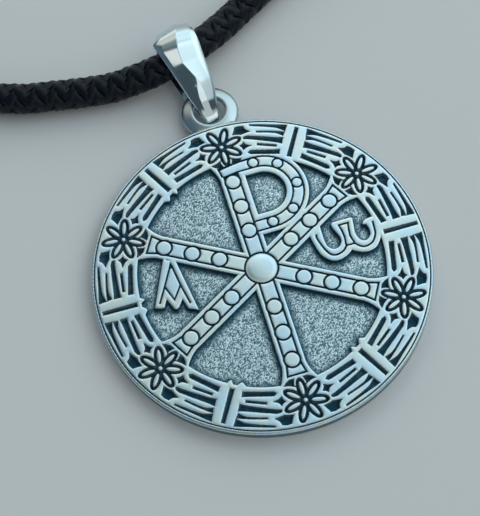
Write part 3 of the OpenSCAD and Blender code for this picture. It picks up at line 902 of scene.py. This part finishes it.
def cord_rings(spacing):
    """Points along the cord at an even spacing: (length so far, place, side and up vectors)."""
    line = smooth_route()
    runs = [0.0]
    for p, q in zip(line, line[1:]):
        runs.append(runs[-1] + (q - p).length)
    total = runs[-1]
    count = round(total / spacing)
    spots = []
    k = 0
    for i in range(count + 1):
        s = total * i / count
        while k < len(runs) - 2 and runs[k + 1] < s:
            k += 1
        t = (s - runs[k]) / (runs[k + 1] - runs[k])
        spots.append((s, line[k].lerp(line[k + 1], t)))
    rings = []
    for i, (s, spot) in enumerate(spots):
        before = spots[max(i - HEADING_REACH, 0)][1]
        ahead = (spots[min(i + HEADING_REACH, count)][1] - before).normalized()
        side = Vector((-ahead.y, ahead.x, 0)).normalized()
        rings.append((s, spot, side, ahead.cross(side)))
    return rings


def flatten(x):
    """Squares a circle's sine or cosine off a little, for a section with a flatter top."""
    return math.copysign(abs(x) ** SQUARED, x)


class PENDANT_OT_cord(bpy.types.Operator):
    """Braids eight strands round the cord's route"""

    bl_idname = "pendant.cord"
    bl_label = "Braided cord"

    def execute(self, context):
        cord = context.scene.pendant_cord
        material = braid_fibre(cord.black)
        rings = cord_rings(BRAID_STEP)
        runs = len(rings) - 1
        n = STRANDS_EACH_WAY
        slant = math.atan(2 * math.pi * STRAND_MID_R * MM / cord.turn)
        bm = bmesh.new()
        uv = bm.loops.layers.uv.new("along")
        # Each strand is a grid rolled up to a tube round its own flat section
        for strand in range(2 * n):
            way = 1 if strand < n else -1
            made = bmesh.ops.create_grid(bm, x_segments=STRAND_SIDES, y_segments=runs, size=1)["verts"]
            rank = {v: (round((v.co.x + 1) / 2 * STRAND_SIDES), round((v.co.y + 1) / 2 * runs))
                    for v in made}
            for f in {f for v in made for f in v.link_faces}:
                for loop in f.loops:
                    i, j = rank[loop.vert]
                    loop[uv].uv = (i / STRAND_SIDES + strand, rings[j][0])
            for v in made:
                i, j = rank[v]
                s, centre, side, up = rings[j]
                turn = way * 2 * math.pi * s * MM / cord.turn + 2 * math.pi * (strand % n) / n
                reach = STRAND_MID_R + way * WEAVE * math.cos(2 * n * math.pi * s * MM / cord.turn)
                around = 2 * math.pi * i / STRAND_SIDES
                wide = cord.strand_w / MM / 2 * flatten(math.cos(around)) / math.cos(slant)
                thick = STRAND_T / 2 * flatten(math.sin(around))
                a = turn + wide / STRAND_MID_R
                v.co = centre + (reach + thick) * (math.cos(a) * side + math.sin(a) * up)
        bmesh.ops.remove_doubles(bm, verts=bm.verts, dist=BRAID_MERGE)
        piece = add_piece("cord_braid", bm, material)
        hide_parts("cord")
        return {"FINISHED"}


class PENDANT_OT_clasp(bpy.types.Operator):
    """Turns the plain barrel that joins the cord's ends"""

    bl_idname = "pendant.clasp"
    bl_label = "Clasp"

    def execute(self, context):
        half = [(x - CLASP_L / 2, r, 0) for x, r in CLASP_END]
        half.append((-WAIST_HALF_W, CLASP_R, 0))
        outline = half + [(0, WAIST_R, 0)] + [(-x, r, 0) for x, r, _ in reversed(half)]
        bm = turned(outline, False, (1, 0, 0), CLASP_STEPS)
        bmesh.ops.translate(bm, vec=(0, CLASP_Y, CLASP_R), verts=bm.verts)
        piece = add_piece("clasp_barrel", bm, bpy.data.materials["Polished silver"])
        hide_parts("clasp")
        return {"FINISHED"}


# Stage: soft panels far round the object, each (direction, inner and outer radius in degrees,
# colour, strength)
PANELS = (
    ((0.50, 0.40, 0.77), 20, 45, (0.74, 0.97, 1.06), 0.70),
    ((0.62, -0.25, 0.74), 20, 32, (0.90, 1.00, 1.03), 0.44),
    ((0.85, 0.25, 0.45), 10, 45, (0.85, 1.00, 1.08), 0.3),
    ((-0.19, -0.17, 0.97), 4, 12, (1.0, 0.97, 0.93), 0.85),
    ((-0.14, 0.20, 0.97), 6, 18, (0.66, 0.70, 0.55), 0.12),
    ((-0.12, 0.80, 0.58), 12, 30, (1.0, 0.96, 0.85), 0.6),
    ((0.10, 0.97, 0.12), 12, 30, (0.90, 0.98, 1.00), 0.45),
    ((0.27, -0.50, 0.82), 8, 14, (0.95, 0.99, 0.98), 0.6),
    ((0.12, -0.89, 0.42), 16, 32, (0.95, 0.97, 0.92), 0.5),
    ((-0.80, 0.10, 0.55), 5, 45, (0.30, 0.55, 0.90), 0.14),
)
AMBIENT = (0.057, 0.083, 0.098, 1)
BLACK = (0, 0, 0, 1)

LAMP_AT = (48.0, 62.0, 55.0)
LAMP_SIZE = 70.0
LAMP_POWER = 0.004      # watts
LAMP_COLOR = (0.82, 0.95, 1.0)

FLOOR_HALF_W = 1.5      # metres
FLOOR_COLOR = (0.93, 0.89, 0.87, 1)
FLOOR_ROUGH = 0.8


def studio_world():
    """A dim room with soft panels in it."""
    world = bpy.data.worlds.new("Studio")
    world.use_nodes = True
    tree = world.node_tree
    place = tree.nodes.new("ShaderNodeTexCoord")
    total = AMBIENT
    for way, inner, outer, color, strength in PANELS:
        toward = Vector(way).normalized()
        facing = put(tree, "ShaderNodeVectorMath", [(0, place.outputs["Generated"]), (1, toward)],
                     operation="DOT_PRODUCT").outputs["Value"]
        share = ramp(tree, facing, math.cos(math.radians(outer)), math.cos(math.radians(inner)))
        panel = mix_color(tree, share, BLACK, toned(color, [strength] * 3))
        total = mix_color(tree, 1.0, total, panel, "ADD")
    tree.links.new(total, tree.nodes["Background"].inputs["Color"])
    return world


def pale_floor():
    """A plain floor under the pendant."""
    bm = bmesh.new()
    bmesh.ops.create_grid(bm, x_segments=1, y_segments=1, size=FLOOR_HALF_W)
    mesh = bpy.data.meshes.new("floor")
    bm.to_mesh(mesh)
    bm.free()
    material, tree, shader = shader_material("Pale floor")
    shader.inputs["Base Color"].default_value = FLOOR_COLOR
    shader.inputs["Roughness"].default_value = FLOOR_ROUGH
    mesh.materials.append(material)
    return bpy.data.objects.new("floor", mesh)


def soft_lamp():
    """One wide lamp near the medallion's upper right, turned to it."""
    glow = bpy.data.lights.new("soft_lamp", "AREA")
    glow.size = LAMP_SIZE * MM
    glow.energy = LAMP_POWER
    glow.color = LAMP_COLOR
    lamp = bpy.data.objects.new("soft_lamp", glow)
    at = Vector(LAMP_AT) * MM
    lamp.matrix_world = Matrix.Translation(at) @ at.to_track_quat("Z", "Y").to_matrix().to_4x4()
    return lamp


def photo_camera():
    """The camera at the photograph's angle."""
    eye = bpy.data.cameras.new("camera")
    eye.sensor_fit = "HORIZONTAL"
    eye.sensor_width = SENSOR_W
    eye.lens = LENS
    eye.clip_start = NEAREST * MM
    camera = bpy.data.objects.new("camera", eye)
    az, el, roll = CAMERA_AZIMUTH, CAMERA_ELEVATION, CAMERA_ROLL
    ahead = Vector((-math.sin(az) * math.cos(el), math.cos(az) * math.cos(el), -math.sin(el)))
    level = Vector((math.cos(az), math.sin(az), 0))
    upright = level.cross(ahead)
    right = math.cos(roll) * level + math.sin(roll) * upright
    up = right.cross(ahead)
    turn = Matrix((right, up, -ahead)).transposed().to_4x4()
    camera.matrix_world = Matrix.Translation(Vector(CAMERA_AT) * MM) @ turn
    return camera


class PENDANT_OT_stage(bpy.types.Operator):
    """Sets the pale floor, the soft lights and the camera at the photograph's angle"""

    bl_idname = "pendant.stage"
    bl_label = "Stage"

    def execute(self, context):
        scene = context.scene
        floor = pale_floor()
        scene.collection.objects.link(floor)
        scene.world = studio_world()
        scene.collection.objects.link(soft_lamp())
        camera = photo_camera()
        scene.collection.objects.link(camera)
        scene.camera = camera
        scene.view_settings.view_transform = "Standard"
        return {"FINISHED"}


class PENDANT_PT_panel(bpy.types.Panel):
    """Lists the steps that build the pendant"""

    bl_idname = "PENDANT_PT_panel"
    bl_label = "Pendant"
    bl_space_type = "VIEW_3D"
    bl_region_type = "UI"
    bl_category = "Pendant"

    def draw(self, context):
        for name in ("bright", "cast", "deposit", "field", "edge_round", "grain"):
            self.layout.prop(context.scene.pendant_silver, name)
        for name in ("strand_w", "turn", "black"):
            self.layout.prop(context.scene.pendant_cord, name)
        for step in STEPS:
            self.layout.operator(step.bl_idname)


STEPS = (PENDANT_OT_stage, PENDANT_OT_cord, PENDANT_OT_medallion, PENDANT_OT_field, PENDANT_OT_ring,
         PENDANT_OT_bail, PENDANT_OT_clasp)
CLASSES = (PendantSilver, PendantCord) + STEPS + (PENDANT_PT_panel,)


def register():
    for item in CLASSES:
        bpy.utils.register_class(item)
    bpy.types.Scene.pendant_silver = bpy.props.PointerProperty(type=PendantSilver)
    bpy.types.Scene.pendant_cord = bpy.props.PointerProperty(type=PendantCord)


def unregister():
    del bpy.types.Scene.pendant_silver
    del bpy.types.Scene.pendant_cord
    for item in reversed(CLASSES):
        bpy.utils.unregister_class(item)


def main():
    register()
    handling_group()
    bright = bpy.context.scene.pendant_silver.bright
    polished_silver("Polished silver", bright, POLISHED_ROUGH)
    polished_silver("Satin silver", toned(bright, [SATIN_TONE] * 3), SATIN_ROUGH)
    bpy.ops.pendant.stage()
    bpy.ops.pendant.cord()
    bpy.ops.pendant.medallion()
    bpy.ops.pendant.field()
    bpy.ops.pendant.ring()
    bpy.ops.pendant.bail()
    bpy.ops.pendant.clasp()


if __name__ == "__main__":
    main()
